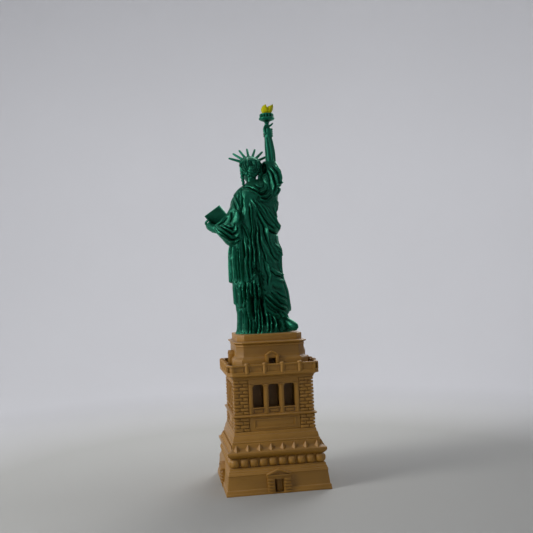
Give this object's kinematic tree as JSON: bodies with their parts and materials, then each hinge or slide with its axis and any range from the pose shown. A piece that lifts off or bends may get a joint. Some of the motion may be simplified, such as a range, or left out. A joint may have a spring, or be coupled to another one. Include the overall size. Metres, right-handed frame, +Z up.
{
  "type": "miniature landmark model",
  "caption": "Printed miniature of a robed figure that lifts a torch and holds a tablet, on a tall stone-pattern pedestal; the figure lifts off and the flame pulls out.",
  "frame": {"origin": "middle of the pedestal's square underside, on the surface that it stands on", "axes": "+Z up; the figure faces -Y, so +X is towards its left arm and the tablet, and the raised torch is on the -X side"},
  "size_m": [0.0844, 0.0804, 0.2999],
  "materials": {
    "tan_print": "matt filament with faint horizontal layer lines",
    "green_print": "silky filament with faint horizontal layer lines",
    "yellow_print": "satin filament"
  },
  "bodies": {
    "pedestal": {"foundation": "tan_print", "portal_front": "tan_print", "portal_right": "tan_print", "portal_back": "tan_print", "portal_left": "tan_print", "shield_course": "tan_print", "ledge_course": "tan_print", "bracket_course": "tan_print", "tower_base": "tan_print", "lower_tower": "tan_print", "string_course": "tan_print", "loggia_core": "tan_print", "loggia_front": "tan_print", "loggia_right": "tan_print", "loggia_back": "tan_print", "loggia_left": "tan_print", "lower_pier_front_left": "tan_print", "lower_pier_back_left": "tan_print", "lower_pier_back_right": "tan_print", "lower_pier_front_right": "tan_print", "upper_pier_front_left": "tan_print", "upper_pier_back_left": "tan_print", "upper_pier_back_right": "tan_print", "upper_pier_front_right": "tan_print", "cornice": "tan_print", "parapet": "tan_print", "upper_plinth": "tan_print", "aedicule_front": "tan_print", "aedicule_right": "tan_print", "aedicule_back": "tan_print", "aedicule_left": "tan_print", "plinth_moulding": "tan_print", "cap_block": "tan_print"},
    "figure": {"skirt": "green_print", "torso": "green_print", "right_foot": "green_print", "left_foot": "green_print", "left_sleeve": "green_print", "left_hand": "green_print", "tablet": "green_print", "right_arm": "green_print", "right_hand": "green_print", "torch": "green_print", "head": "green_print", "hair": "green_print", "diadem": "green_print", "ray_1": "green_print", "ray_2": "green_print", "ray_3": "green_print", "ray_4": "green_print", "ray_5": "green_print", "ray_6": "green_print", "ray_7": "green_print"},
    "flame": {"flame": "yellow_print"}
  },
  "joints": [
    {"name": "lift_figure", "type": "slide", "parent": "pedestal", "child": "figure", "axis": [0, 0, 1], "range_m": [0, 0.012]},
    {"name": "pull_flame", "type": "slide", "parent": "figure", "child": "flame", "axis": [0, 0, 1], "range_m": [0, 0.006]}
  ]
}
